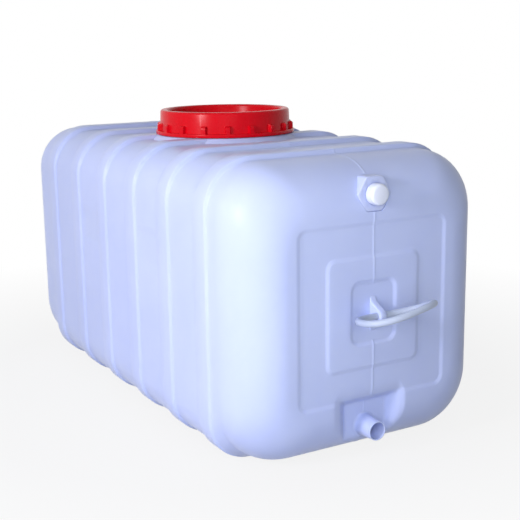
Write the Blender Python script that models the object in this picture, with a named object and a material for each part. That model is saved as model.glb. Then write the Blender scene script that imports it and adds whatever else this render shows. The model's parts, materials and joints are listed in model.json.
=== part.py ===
"""Fresh water tank of about 220 litres: a one-piece blow-moulded shell with a screw lid, a capped vent
fitting, a moulded outlet spigot and a ring handle at each end.

Metres, +Z up. The origin is on the base, under the axis of the lid, and the outlet end faces +X.
"""

import math

import bmesh
import bpy
from mathutils import Matrix, Vector

# Shell, measured over its hoops
LENGTH = 1.000
WIDTH = 0.495
HEIGHT = 0.512
WALL = 0.004
TOP_CORNER = 0.087
BOTTOM_CORNER = 0.0785
END_TOP_CORNER = 0.088
END_BOTTOM_CORNER = 0.1045
END_ROUND_LENGTH = 0.0945
END_ROUND_DEPTH = 0.082
END_FACE_CORNER = 0.052

# Raised hoops: the first and the last from the middle of the hoop to the end of the tank
HOOP_COUNT = 6
FRONT_HOOP = 0.1365
REAR_HOOP = 0.160
HOOP_WIDTH = 0.047
HOOP_CREST = 0.031
HOOP_SIDE_RISE = 0.004
HOOP_TOP_RISE = 0.008
HOOP_ROUNDING = 0.003

# Stepped panel on each end face: a recess, a raised square in it, and a recess for the lug in that
PANEL_SIDE_MARGIN = 0.100
PANEL_END_MARGIN = 0.106
PANEL_DEPTH = 0.006
PANEL_STEP = 0.006
PANEL_CORNER = 0.018
MIDDLE_MARGIN = 0.054
MIDDLE_RISE = 0.005
LUG_RECESS_WIDTH = 0.088
LUG_RECESS_HEIGHT = 0.099
LUG_RECESS_DEPTH = 0.006

# Lug and ring handle
LUG_REACH = 0.0155
LUG_DROP = 0.003
LUG_ROOT = 0.050
LUG_NOSE_RADIUS = 0.0122
LUG_THICKNESS = 0.009
HANDLE_ROD = 0.010
HANDLE_WIDTH = 0.138
HANDLE_REACH = 0.094
HANDLE_TILT = math.radians(16.0)
HANDLE_TWIST = math.radians(7.0)
HANDLE_SQUARENESS = 2.4
HANDLE_CLEARANCE = 0.0006

# Filler neck and lid
NECK_RADIUS = 0.1241
NECK_WALL = 0.0065
NECK_HEIGHT = 0.040
COLLAR_HEIGHT = 0.0005
COLLAR_WIDTH = 0.011
COLLAR_SLOPE = 0.010
THREAD_CLEARANCE = 0.001
PLUG_CLEARANCE = 0.002
LID_CLEARANCE = 0.001
LID_WALL = 0.0035
LID_TOP_WALL = 0.0045
LID_TAPER = 0.0015
LID_REST_TURN = math.radians(14.0)
LIP_HEIGHT = 0.011
LIP_PROUD = 0.008
LIP_EDGE = 0.0015
DISH_DEPTH = 0.022
DISH_FILLET = 0.004
RIM_ROUND = 0.005
RIB_COUNT = 18
RIB_WIDTH = 0.008
RIB_HEIGHT = 0.024
RIB_CHAMFER = 0.003
GASKET_THICKNESS = 0.003

# Vent fitting, high on the outlet end
VENT_DROP = 0.0615
VENT_THREAD_RADIUS = 0.0132
VENT_BORE_RADIUS = 0.009
VENT_FIT = 0.0005
VENT_REACH = 0.0145
VENT_TAIL = 0.003
BOSS_SETBACK = 0.0105
BOSS_MARGIN = 0.002
SEAT_MARGIN = 0.001
FLANGE_FLATS = 0.057
FLANGE_THICKNESS = 0.006
WASHER_THICKNESS = 0.0015
WASHER_MARGIN = 0.0015
NUT_FLATS = 0.036
NUT_THICKNESS = 0.008
NUT_ROOM = 0.005
HEX_CHAMFER = 0.002
CAP_WALL = 0.0038
CAP_END = 0.003
CAP_CHAMFER = 0.003
CAP_GAP = 0.0008
CAP_SEAL_THICKNESS = 0.002

# Outlet pocket and spigot, low on the same end
POCKET_DEPTH = 0.026
POCKET_WIDTH = 0.141
POCKET_TOP = 0.117
POCKET_DRAFT = 0.028
POCKET_TOP_DRAFT = 0.020
POCKET_CORNER = 0.014
OUTLET_RISE = 0.0535
OUTLET_REACH = 0.0135
OUTLET_BORE_RADIUS = 0.0147
OUTLET_TIP_RADIUS = 0.0165
OUTLET_ROOT_RADIUS = 0.019
OUTLET_FLARE = 0.002

# Gap kept between pieces that touch, how deep joined shapes sink into each other, and how far cutters overrun
SEAT_GAP = 0.0003
SINK = 0.002
OVERRUN = 0.020

# Facets
CORNER_STEPS = 5
END_STEPS = 5
HOOP_STEPS = 3
LID_SEGMENTS = 54
FITTING_SEGMENTS = 24
ROUND_STEPS = 3
NOSE_STEPS = 8
HANDLE_POINTS = 40
HANDLE_SIDES = 3
SHARP_ANGLE = math.radians(35)

END_X = LENGTH / 2
MIDDLE_Z = HEIGHT / 2
LUG_Z = MIDDLE_Z - LUG_DROP
TOP_Z = HEIGHT - HOOP_TOP_RISE
RECESS_FLOOR = PANEL_DEPTH - MIDDLE_RISE + LUG_RECESS_DEPTH
VENT_Z = HEIGHT - VENT_DROP


def clear_scene():
    for obj in list(bpy.data.objects):
        bpy.data.objects.remove(obj, do_unlink=True)


def plastic(name, colour, roughness, transmission=0.0):
    material = bpy.data.materials.new(name)
    material.use_nodes = True
    shader = material.node_tree.nodes["Principled BSDF"]
    shader.inputs["Base Color"].default_value = (*colour, 1.0)
    shader.inputs["Roughness"].default_value = roughness
    shader.inputs["Transmission Weight"].default_value = transmission
    return material


def add_object(name, data, material=None, location=(0, 0, 0), turn=0.0):
    obj = bpy.data.objects.new(name, data)
    obj.location = location
    obj.rotation_euler = (0, 0, turn)
    if material:
        data.materials.append(material)
    bpy.context.scene.collection.objects.link(obj)
    return obj


def helper(name, mesh):
    """A shape that only cuts or joins, so it isn't part of the tank."""
    obj = add_object(name, mesh)
    obj.hide_render = True
    obj.display_type = "WIRE"
    return obj


def boolean(target, tool, operation):
    modifier = target.modifiers.new(tool.name, "BOOLEAN")
    modifier.operation = operation
    modifier.solver = "EXACT"
    modifier.object = tool


def finish_mesh(name, bm):
    bmesh.ops.recalc_face_normals(bm, faces=bm.faces)
    mesh = bpy.data.meshes.new(name)
    bm.to_mesh(mesh)
    bm.free()
    mesh.shade_smooth()
    mesh.set_sharp_from_angle(angle=SHARP_ANGLE)
    return mesh


def loft(name, rings, closed=False):
    """Skin over rings of equally many points: capped at both ends, or closed into a loop."""
    bm = bmesh.new()
    loops = [[bm.verts.new(point) for point in ring] for ring in rings]
    pairs = list(zip(loops, loops[1:]))
    if closed:
        pairs.append((loops[-1], loops[0]))
    else:
        bm.faces.new(loops[0])
        bm.faces.new(loops[-1])
    for first, second in pairs:
        for k in range(len(first)):
            after = (k + 1) % len(first)
            bm.faces.new((first[k], first[after], second[after], second[k]))
    return finish_mesh(name, bm)


def circle(radius, height, segments, along_x=False):
    points = []
    for k in range(segments):
        angle = 2 * math.pi * k / segments
        a, b = radius * math.cos(angle), radius * math.sin(angle)
        points.append(Vector((height, a, b)) if along_x else Vector((a, b, height)))
    return points


def turned(name, profile, segments, along_x=False, closed=False):
    """A turned piece from (radius, height) pairs, about Z or about X."""
    return loft(name, [circle(r, h, segments, along_x) for r, h in profile], closed)


def arc(centre_r, centre_h, radius, start, end, steps=ROUND_STEPS):
    """Points of an arc in a turned profile, with its angles in degrees from outwards to up."""
    angles = [math.radians(start + (end - start) * k / steps) for k in range(steps + 1)]
    return [(centre_r + radius * math.cos(a), centre_h + radius * math.sin(a)) for a in angles]


def moved(mesh, offset):
    mesh.transform(Matrix.Translation(offset))
    return mesh


def extruded(name, outline, thickness):
    """An (x, z) outline given thickness along Y, half to each side."""
    rings = [[Vector((x, side * thickness / 2, z)) for x, z in outline] for side in (-1, 1)]
    return loft(name, rings)


def rounded_rectangle(x, half_y, half_z, top_radius, bottom_radius, centre_z):
    points = []
    for quarter, (side_y, side_z) in enumerate(((1, 1), (-1, 1), (-1, -1), (1, -1))):
        radius = top_radius if side_z > 0 else bottom_radius
        centre_y = side_y * (half_y - radius)
        corner_z = centre_z + side_z * (half_z - radius)
        for step in range(CORNER_STEPS + 1):
            angle = (quarter + step / CORNER_STEPS) * math.pi / 2
            y = centre_y + radius * math.cos(angle)
            z = corner_z + radius * math.sin(angle)
            points.append(Vector((x, y, z)))
    return points


def section(x, rise, inset):
    """The shell's outline at x, from a band where rise is 0 to the crest of a hoop where it is 1."""
    low = 1 - rise
    half_y = WIDTH / 2 - HOOP_SIDE_RISE * low - inset
    half_z = HEIGHT / 2 - HOOP_TOP_RISE * low - inset
    tighter = HOOP_ROUNDING * low + inset
    return rounded_rectangle(x, half_y, half_z, TOP_CORNER - tighter, BOTTOM_CORNER - tighter, MIDDLE_Z)


def hoop_rings(inset, steps):
    rings = []
    pitch = (LENGTH - FRONT_HOOP - REAR_HOOP) / (HOOP_COUNT - 1)
    run = (HOOP_WIDTH - HOOP_CREST) / 2
    narrowing = inset * math.tan(math.atan2(HOOP_TOP_RISE, run) / 2)
    for hoop in range(HOOP_COUNT):
        centre = REAR_HOOP - END_X + hoop * pitch
        for side in (-1, 1):
            for step in range(steps + 1):
                share = step / steps if side < 0 else 1 - step / steps
                x = centre + side * (HOOP_WIDTH / 2 - narrowing - run * share)
                rings.append(section(x, (1 - math.cos(math.pi * share)) / 2, inset))
    return rings


def end_rings(side, inset):
    """The round from the sides into an end face, then the steps of its panel, working inwards."""
    rings = []
    for step in range(END_STEPS + 1):
        angle = step / END_STEPS * math.pi / 2
        share = 1 - math.cos(angle)
        x = END_X - END_ROUND_LENGTH + (END_ROUND_LENGTH - inset) * math.sin(angle)
        drawn_in = END_ROUND_DEPTH - (END_ROUND_DEPTH - inset) * math.cos(angle)
        half_y = WIDTH / 2 - HOOP_SIDE_RISE - drawn_in
        half_z = HEIGHT / 2 - HOOP_TOP_RISE - drawn_in
        corners = []
        for corner in (END_TOP_CORNER, END_BOTTOM_CORNER):
            corners.append(corner * (1 - share) + END_FACE_CORNER * share - inset)
        rings.append(rounded_rectangle(side * x, half_y, half_z, *corners, MIDDLE_Z))
    outer = (WIDTH / 2 - PANEL_SIDE_MARGIN, HEIGHT / 2 - PANEL_END_MARGIN)
    middle = (outer[0] - MIDDLE_MARGIN, outer[1] - MIDDLE_MARGIN)
    lug_recess = (LUG_RECESS_WIDTH / 2, LUG_RECESS_HEIGHT / 2)
    raised = PANEL_DEPTH - MIDDLE_RISE
    steps = (
        (outer, 0, 0),
        (outer, PANEL_STEP, PANEL_DEPTH),
        (middle, 0, PANEL_DEPTH),
        (middle, PANEL_STEP, raised),
        (lug_recess, 0, raised),
        (lug_recess, PANEL_STEP, RECESS_FLOOR),
    )
    for (half_y, half_z), drawn_in, depth in steps:
        x = side * (END_X - depth - inset)
        corner = PANEL_CORNER - drawn_in
        rings.append(rounded_rectangle(x, half_y - drawn_in, half_z - drawn_in, corner, corner, MIDDLE_Z))
    return rings


def body_mesh(name, inset, hoop_steps):
    rear = end_rings(-1, inset)[::-1]
    return loft(name, rear + hoop_rings(inset, hoop_steps) + end_rings(1, inset))


def pocket_mesh(name, offset):
    """The space of the outlet pocket, grown by offset on every side and open at the bottom and front."""
    floor_x = END_X - POCKET_DEPTH - offset
    rings = []
    for depth in (0, 2 * POCKET_DEPTH + offset):
        half_y = POCKET_WIDTH / 2 - POCKET_DRAFT + offset + depth * POCKET_DRAFT / POCKET_DEPTH
        top = POCKET_TOP - POCKET_TOP_DRAFT + offset + depth * POCKET_TOP_DRAFT / POCKET_DEPTH
        bottom = -OVERRUN
        centre, half_z = (top + bottom) / 2, (top - bottom) / 2
        corners = (POCKET_CORNER, POCKET_CORNER)
        rings.append(rounded_rectangle(floor_x + depth, half_y, half_z, *corners, centre))
    return loft(name, rings)


def neck_mesh(name):
    """The collar that rises from the top of the tank, and the neck above it."""
    collar = NECK_RADIUS + COLLAR_WIDTH
    base = TOP_Z - WALL / 2
    profile = [
        (collar + COLLAR_SLOPE, base),
        (collar + COLLAR_SLOPE, TOP_Z),
        (collar, HEIGHT + COLLAR_HEIGHT),
        (NECK_RADIUS, HEIGHT + COLLAR_HEIGHT),
        (NECK_RADIUS, HEIGHT + NECK_HEIGHT),
    ]
    return turned(name, profile, LID_SEGMENTS)


def lug_mesh(name, side):
    root_x = END_X - RECESS_FLOOR - SINK
    hole_x = END_X + LUG_REACH
    outline = [(root_x, -LUG_ROOT / 2)]
    outline += arc(hole_x, 0, LUG_NOSE_RADIUS, -75, 75, NOSE_STEPS)
    outline.append((root_x, LUG_ROOT / 2))
    return extruded(name, [(side * x, LUG_Z + z) for x, z in outline], LUG_THICKNESS)


def lug_hole_mesh(name, side):
    radius = HANDLE_ROD / 2 + HANDLE_CLEARANCE
    outline = [(side * (END_X + LUG_REACH) + v.x, LUG_Z + v.y) for v in circle(radius, 0, FITTING_SEGMENTS)]
    return extruded(name, outline, LUG_THICKNESS + OVERRUN)


def boss_face_x():
    return END_X - BOSS_SETBACK


def boss_radius():
    return FLANGE_FLATS / 2 / math.cos(math.pi / 6) + BOSS_MARGIN


def boss_mesh(name):
    """Round boss that carries the vent fitting on the rounded top edge of the end."""
    profile = [(boss_radius(), END_X - END_ROUND_LENGTH), (boss_radius(), boss_face_x() + SINK)]
    return moved(turned(name, profile, FITTING_SEGMENTS * 2, True), (0, 0, VENT_Z))


def boss_seat_mesh(name):
    """The space in front of the boss, which cuts a flat seat for the washer."""
    radius = boss_radius() + SEAT_MARGIN
    profile = [(radius, boss_face_x()), (radius, END_X + OVERRUN)]
    return moved(turned(name, profile, FITTING_SEGMENTS * 2, True), (0, 0, VENT_Z))


def boss_room_mesh(name):
    """The hollow behind the boss, where the lock nut turns."""
    radius = NUT_FLATS / 2 / math.cos(math.pi / 6) + NUT_ROOM
    profile = [(radius, END_X - END_ROUND_LENGTH), (radius, boss_face_x() - WALL)]
    return moved(turned(name, profile, FITTING_SEGMENTS, True), (0, 0, VENT_Z))


def boss_wall_mesh(name):
    """The wall behind the seat of the boss, which the hollow of the tank stays clear of."""
    radius = boss_radius() + SEAT_MARGIN + WALL
    profile = [(radius, boss_face_x() - WALL), (radius, END_X + OVERRUN)]
    return moved(turned(name, profile, FITTING_SEGMENTS * 2, True), (0, 0, VENT_Z))


def vent_hole_mesh(name):
    radius = VENT_THREAD_RADIUS + VENT_FIT
    profile = [(radius, boss_face_x() - WALL - OVERRUN), (radius, boss_face_x() + OVERRUN)]
    return moved(turned(name, profile, FITTING_SEGMENTS, True), (0, 0, VENT_Z))


def spigot_mesh(name):
    floor_x = END_X - POCKET_DEPTH
    profile = [
        (OUTLET_ROOT_RADIUS + OUTLET_FLARE, floor_x - SINK),
        (OUTLET_ROOT_RADIUS + OUTLET_FLARE, floor_x),
        (OUTLET_ROOT_RADIUS, floor_x + OUTLET_FLARE),
        (OUTLET_TIP_RADIUS, END_X + OUTLET_REACH),
    ]
    return moved(turned(name, profile, FITTING_SEGMENTS, True), (0, 0, OUTLET_RISE))


def spigot_bore_mesh(name):
    start = END_X - POCKET_DEPTH - WALL - OVERRUN
    profile = [(OUTLET_BORE_RADIUS, start), (OUTLET_BORE_RADIUS, END_X + OUTLET_REACH + OVERRUN)]
    return moved(turned(name, profile, FITTING_SEGMENTS, True), (0, 0, OUTLET_RISE))


def neck_bore_mesh(name):
    radius = NECK_RADIUS - NECK_WALL
    profile = [(radius, TOP_Z - WALL - OVERRUN), (radius, HEIGHT + NECK_HEIGHT + OVERRUN)]
    return turned(name, profile, LID_SEGMENTS)


def build_shell(material):
    shell = add_object("tank_shell", body_mesh("tank_shell", 0, HOOP_STEPS), material)
    cavity = helper("cavity", body_mesh("cavity", WALL, 1))
    boolean(shell, helper("neck", neck_mesh("neck")), "UNION")
    boolean(shell, helper("vent_boss", boss_mesh("vent_boss")), "UNION")
    boolean(shell, helper("vent_seat", boss_seat_mesh("vent_seat")), "DIFFERENCE")
    boolean(shell, helper("pocket", pocket_mesh("pocket", 0)), "DIFFERENCE")
    boolean(shell, helper("spigot", spigot_mesh("spigot")), "UNION")
    boolean(cavity, helper("vent_boss_room", boss_room_mesh("vent_boss_room")), "UNION")
    boolean(cavity, helper("vent_boss_wall", boss_wall_mesh("vent_boss_wall")), "DIFFERENCE")
    boolean(cavity, helper("pocket_wall", pocket_mesh("pocket_wall", WALL)), "DIFFERENCE")
    boolean(cavity, helper("neck_bore", neck_bore_mesh("neck_bore")), "UNION")
    boolean(shell, cavity, "DIFFERENCE")
    boolean(shell, helper("vent_hole", vent_hole_mesh("vent_hole")), "DIFFERENCE")
    boolean(shell, helper("spigot_bore", spigot_bore_mesh("spigot_bore")), "DIFFERENCE")
    for side, end in ((1, "front"), (-1, "rear")):
        boolean(shell, helper(f"{end}_lug", lug_mesh(f"{end}_lug", side)), "UNION")
        boolean(shell, helper(f"{end}_lug_hole", lug_hole_mesh(f"{end}_lug_hole", side)), "DIFFERENCE")


def gasket_base_z():
    return HEIGHT + NECK_HEIGHT + SEAT_GAP


def lid_base_z():
    return HEIGHT + COLLAR_HEIGHT + LID_CLEARANCE


def lid_profile():
    """The lid's half section above its own base, from the top of the dished centre round to its underside."""
    skirt = NECK_RADIUS + THREAD_CLEARANCE
    drum = skirt + LID_WALL
    drum_top = drum - LID_TAPER
    plug = NECK_RADIUS - NECK_WALL - PLUG_CLEARANCE
    dish = plug - LID_WALL
    ceiling = gasket_base_z() + GASKET_THICKNESS + SEAT_GAP - lid_base_z()
    top = ceiling + LID_TOP_WALL
    floor = top - DISH_DEPTH
    lip = drum + LIP_PROUD
    profile = arc(dish - DISH_FILLET, floor + DISH_FILLET, DISH_FILLET, -90, 0)
    profile += arc(dish + RIM_ROUND, top - RIM_ROUND, RIM_ROUND, 180, 90)
    profile += arc(drum_top - RIM_ROUND, top - RIM_ROUND, RIM_ROUND, 90, 0)
    profile += [
        (drum, LIP_HEIGHT),
        (lip - LIP_EDGE, LIP_HEIGHT),
        (lip, LIP_HEIGHT - LIP_EDGE),
        (lip, LIP_EDGE),
        (lip - LIP_EDGE, 0),
        (skirt, 0),
        (skirt, ceiling),
        (plug, ceiling),
        (plug, floor - LID_WALL),
    ]
    return profile


def rib_mesh(name):
    """All the grip ribs, each a buttress standing on the lip against the drum."""
    skirt = NECK_RADIUS + THREAD_CLEARANCE
    root = skirt + LID_WALL / 2
    face = skirt + LID_WALL + LIP_PROUD - LIP_EDGE
    outline = (
        (root, LIP_HEIGHT - SINK),
        (face, LIP_HEIGHT - SINK),
        (face, RIB_HEIGHT - RIB_CHAMFER),
        (face - RIB_CHAMFER, RIB_HEIGHT),
        (root, RIB_HEIGHT),
    )
    bm = bmesh.new()
    for rib in range(RIB_COUNT):
        one = extruded(name, outline, RIB_WIDTH)
        angle = LID_REST_TURN + 2 * math.pi * rib / RIB_COUNT
        one.transform(Matrix.Rotation(angle, 4, "Z"))
        bm.from_mesh(one)
        bpy.data.meshes.remove(one)
    return finish_mesh(name, bm)


def build_lid(material, seal_material):
    lid = add_object("lid", turned("lid", lid_profile(), LID_SEGMENTS), material, (0, 0, lid_base_z()))
    ribs = helper("grip_ribs", rib_mesh("grip_ribs"))
    ribs.location = lid.location
    boolean(lid, ribs, "UNION")
    inner = NECK_RADIUS - NECK_WALL
    profile = [
        (inner, 0),
        (NECK_RADIUS, 0),
        (NECK_RADIUS, GASKET_THICKNESS),
        (inner, GASKET_THICKNESS),
    ]
    mesh = turned("lid_gasket", profile, LID_SEGMENTS, closed=True)
    add_object("lid_gasket", mesh, seal_material, (0, 0, gasket_base_z()))


def hexagonal(name, flats, start, end):
    """A hexagonal plate along X from start to end, with the edges of its end face chamfered."""
    corner = flats / 2 / math.cos(math.pi / 6)
    step = math.copysign(HEX_CHAMFER, end - start)
    profile = [(corner, start), (corner, end - step), (corner - HEX_CHAMFER, end)]
    return turned(name, profile, 6, True)


def rod(name, radius, start, end):
    return turned(name, [(radius, start), (radius, end)], FITTING_SEGMENTS, True)


def build_vent(material, seal_material, rubber):
    """The bulkhead nipple on its boss, its washer and nut, and the cap screwed on it."""
    face = boss_face_x()
    washer_start = face + SEAT_GAP
    flange_start = washer_start + WASHER_THICKNESS + SEAT_GAP
    flange_end = flange_start + FLANGE_THICKNESS
    tip = flange_end + VENT_REACH
    nut_end = face - WALL - SEAT_GAP
    tail = nut_end - NUT_THICKNESS - VENT_TAIL
    loose = VENT_THREAD_RADIUS + VENT_FIT

    mesh = hexagonal("vent_fitting", FLANGE_FLATS, flange_start, flange_end)
    fitting = add_object("vent_fitting", mesh, material, (0, 0, VENT_Z))
    stem = helper("vent_stem", rod("vent_stem", VENT_THREAD_RADIUS, tail, tip))
    bore = helper("vent_bore", rod("vent_bore", VENT_BORE_RADIUS, tail - OVERRUN, tip + OVERRUN))
    for tool, operation in ((stem, "UNION"), (bore, "DIFFERENCE")):
        tool.location = fitting.location
        boolean(fitting, tool, operation)

    washer_radius = FLANGE_FLATS / 2 - WASHER_MARGIN
    profile = [
        (loose, washer_start),
        (washer_radius, washer_start),
        (washer_radius, washer_start + WASHER_THICKNESS),
        (loose, washer_start + WASHER_THICKNESS),
    ]
    mesh = turned("vent_washer", profile, FITTING_SEGMENTS, True, closed=True)
    add_object("vent_washer", mesh, rubber, (0, 0, VENT_Z))

    nut_start = nut_end - NUT_THICKNESS
    mesh = hexagonal("vent_lock_nut", NUT_FLATS, nut_end, nut_start)
    nut = add_object("vent_lock_nut", mesh, material, (0, 0, VENT_Z))
    hole = helper("vent_nut_hole", rod("vent_nut_hole", loose, nut_start - OVERRUN, nut_end + OVERRUN))
    hole.location = nut.location
    boolean(nut, hole, "DIFFERENCE")

    seal_start = tip + SEAT_GAP
    seal_end = seal_start + CAP_SEAL_THICKNESS
    mesh = rod("vent_cap_seal", VENT_THREAD_RADIUS, seal_start, seal_end)
    add_object("vent_cap_seal", mesh, seal_material, (0, 0, VENT_Z))

    cap_radius = loose + CAP_WALL
    cap_end = seal_end + SEAT_GAP + CAP_END
    profile = [
        (loose, seal_end + SEAT_GAP),
        (loose, flange_end + CAP_GAP),
        (cap_radius, flange_end + CAP_GAP),
        (cap_radius, cap_end - CAP_CHAMFER),
        (cap_radius - CAP_CHAMFER, cap_end),
    ]
    mesh = turned("vent_cap", profile, FITTING_SEGMENTS, True)
    add_object("vent_cap", mesh, material, (0, 0, VENT_Z))


def handle_points():
    """The ring's centre line from the lug's hole: a squarish oval that tilts up, and twists from end to end."""
    half_y = (HANDLE_WIDTH - HANDLE_ROD) / 2
    half_reach = HANDLE_REACH / 2
    points = []
    for k in range(HANDLE_POINTS):
        angle = 2 * math.pi * k / HANDLE_POINTS
        cosine, sine = math.cos(angle), math.sin(angle)
        y = half_y * math.copysign(abs(cosine) ** (2 / HANDLE_SQUARENESS), cosine)
        out = half_reach * (1 + math.copysign(abs(sine) ** (2 / HANDLE_SQUARENESS), sine))
        tilt = HANDLE_TILT + HANDLE_TWIST * y / half_y
        points.append((out * math.cos(tilt), y, out * math.sin(tilt)))
    return points


def build_handle(name, side, material):
    curve = bpy.data.curves.new(name, "CURVE")
    curve.dimensions = "3D"
    curve.bevel_depth = HANDLE_ROD / 2
    curve.bevel_resolution = HANDLE_SIDES
    spline = curve.splines.new("POLY")
    points = handle_points()
    spline.points.add(len(points) - 1)
    for target, point in zip(spline.points, points):
        target.co = (*point, 1.0)
    spline.use_cyclic_u = True
    spline.use_smooth = True
    turn = 0.0 if side > 0 else math.pi
    add_object(name, curve, material, (side * (END_X + LUG_REACH), 0, LUG_Z), turn)


def main():
    clear_scene()
    natural = plastic("natural_polyethylene", (0.62, 0.68, 0.90), 0.32, 0.1)
    red = plastic("red_polypropylene", (0.72, 0.004, 0.016), 0.28)
    white = plastic("white_polypropylene", (0.82, 0.84, 0.92), 0.30)
    rubber = plastic("black_rubber", (0.02, 0.02, 0.02), 0.60)
    foam = plastic("grey_sealing_foam", (0.45, 0.45, 0.47), 0.80)
    build_shell(natural)
    build_lid(red, rubber)
    build_vent(white, foam, rubber)
    build_handle("front_handle", 1, white)
    build_handle("rear_handle", -1, white)


main()
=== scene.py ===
"""Looks of the fresh water tank: a blow-moulded skin, a red lid, white fittings and ring handles.

Metres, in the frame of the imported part: +X points to the outlet end, +Z is up, and the tank stands on Z = 0.
"""

import json
import math

import bmesh
import bpy
import numpy as np
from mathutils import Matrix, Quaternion, Vector


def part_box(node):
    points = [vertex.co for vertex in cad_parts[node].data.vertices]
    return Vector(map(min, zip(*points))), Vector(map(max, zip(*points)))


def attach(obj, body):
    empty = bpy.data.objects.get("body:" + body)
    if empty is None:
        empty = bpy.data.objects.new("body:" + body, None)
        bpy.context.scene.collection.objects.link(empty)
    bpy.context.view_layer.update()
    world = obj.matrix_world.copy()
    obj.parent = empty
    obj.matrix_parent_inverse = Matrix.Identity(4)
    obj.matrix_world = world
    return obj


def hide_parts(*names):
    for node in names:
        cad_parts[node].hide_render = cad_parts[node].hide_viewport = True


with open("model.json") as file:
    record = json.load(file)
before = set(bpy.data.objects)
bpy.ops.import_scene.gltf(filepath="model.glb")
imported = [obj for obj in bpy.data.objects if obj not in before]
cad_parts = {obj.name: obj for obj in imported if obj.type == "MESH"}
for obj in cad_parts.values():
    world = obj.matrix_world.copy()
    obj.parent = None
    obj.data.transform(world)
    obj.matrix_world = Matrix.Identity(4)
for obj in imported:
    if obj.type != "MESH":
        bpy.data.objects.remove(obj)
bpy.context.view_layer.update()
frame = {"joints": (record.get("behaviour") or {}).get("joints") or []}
JOINTS = {joint["name"]: joint for joint in frame["joints"]}

# Shell, measured over its hoops
LENGTH = 1.000
WIDTH = 0.495
HEIGHT = 0.512
WALL = 0.004
TOP_CORNER = 0.087
BOTTOM_CORNER = 0.0785
END_TOP_CORNER = 0.088
END_BOTTOM_CORNER = 0.1045
END_ROUND_LENGTH = 0.0945
END_ROUND_DEPTH = 0.082
END_FACE_CORNER = 0.052
END_X = LENGTH / 2
MIDDLE_Z = HEIGHT / 2

# Raised hoops
HOOP_COUNT = 6
FRONT_HOOP = 0.1365
REAR_HOOP = 0.160
HOOP_WIDTH = 0.047
HOOP_CREST = 0.0325
HOOP_SIDE_RISE = 0.004
HOOP_TOP_RISE = 0.008
HOOP_ROUNDING = 0.003
BOTTOM_DROP = 0.004
HOOP_PITCH = (LENGTH - FRONT_HOOP - REAR_HOOP) / (HOOP_COUNT - 1)
BAND_TOP_Z = HEIGHT - HOOP_TOP_RISE

# Blank pads pressed into two bands of the -Y side, counted from the rear
PAD_BANDS = (1, 3)
PAD_MIDDLE_Z = 0.3265
PAD_HEIGHT = 0.070
PAD_DEPTH = 0.0024
PAD_EDGE = 0.003

# Stepped panel of each end
PANEL_SIDE_MARGIN = 0.098
PANEL_END_MARGIN = 0.104
PANEL_DEPTH = 0.0021
PANEL_STEP = 0.010
PANEL_CORNER = 0.020
MIDDLE_MARGIN = 0.054
MIDDLE_RISE = 0.0022
LUG_RECESS_WIDTH = 0.096
LUG_RECESS_HEIGHT = 0.114
LUG_RECESS_DEPTH = 0.0030
RECESS_FLOOR = PANEL_DEPTH - MIDDLE_RISE + LUG_RECESS_DEPTH

# Lugs and rings
LUG_ROOT = 0.050
LUG_FLARE = 0.004
LUG_NOSE_RADIUS = 0.0122
LUG_THICKNESS = 0.013
LUG_EDGE = 0.0030
LUG_NOSE_TURN = 62
HANDLE_ROD = 0.011
HANDLE_WIDTH = 0.138
HANDLE_REACH = 0.094
HANDLE_TILT = math.radians(16.0)
HANDLE_TWIST = math.radians(7.0)
HANDLE_SQUARENESS = 2.4
HANDLE_CLEARANCE = 0.0006

# Filler neck, its collar and the thread it shares with the lid
NECK_RADIUS = 0.1241
NECK_INSIDE = 0.1176
NECK_RIM_Z = 0.552
COLLAR_PROUD = 0.0005
COLLAR_Z = HEIGHT + COLLAR_PROUD
COLLAR_RADIUS = 0.1351
COLLAR_FOOT = 0.1451
COLLAR_ROUND_END = 40
NECK_ROUND = 0.0015
THREAD_PITCH = 0.012
THREAD_RISE = 0.0006
THREAD_WIDTH = 0.0045
THREAD_FADE = 0.5
THREAD_TIP = 0.05
NECK_THREAD_Z = 0.523
NECK_THREAD_TURNS = 2.0
LID_THREAD_TURNS = 1.7

# Lid, above its own base
LID_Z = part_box("lid")[0].z
LID_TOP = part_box("lid")[1].z - LID_Z
SKIRT_RADIUS = 0.1251
DRUM_RADIUS = 0.1286
DRUM_TOP_RADIUS = 0.1271
DRUM_SLACK = 0.001
PLUG_RADIUS = 0.1156
DISH_RADIUS = 0.1121
DISH_DEPTH = 0.022
DISH_FLOOR = LID_TOP - DISH_DEPTH
DISH_FILLET = 0.005
DISH_WALL = 0.0035
DISH_PIP_CENTRE = 0.003
DISH_PIP_RADIUS = 0.005
DISH_RING_RADIUS = DISH_RADIUS * 0.55
DISH_RING_WIDTH = 0.006
DISH_MARK_RISE = 0.0012
DISH_MARK_SLOPE = 0.001
LID_PLATE = 0.0045
LID_CEILING = LID_TOP - LID_PLATE
LID_ROUND = 0.0045
LIP_RADIUS = 0.1366
LIP_HEIGHT = 0.0070
LIP_ROUND = 0.0015
BAR_COUNT = 18
BAR_TURN = math.radians(14.0)
BAR_WIDTH = 0.0095
BAR_HEIGHT = 0.0212
BAR_ROUND = 0.004
BAR_EDGE = 0.0016
BAR_INSET = 0.0001
BAR_TOP_POINTS = 8
BAR_SIDE_POINTS = 4
BAR_CROWN_POINTS = 3
BAR_EDGE_POINTS = 6
BAR_GAP_POINTS = 5
BAR_FACE = LIP_RADIUS - LIP_ROUND - BAR_INSET

# Seal under the lid, and the edges of all seals
GASKET_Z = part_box("lid_gasket")[0].z
GASKET_THICKNESS = 0.003
SEAL_ROUND = 0.0006

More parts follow.
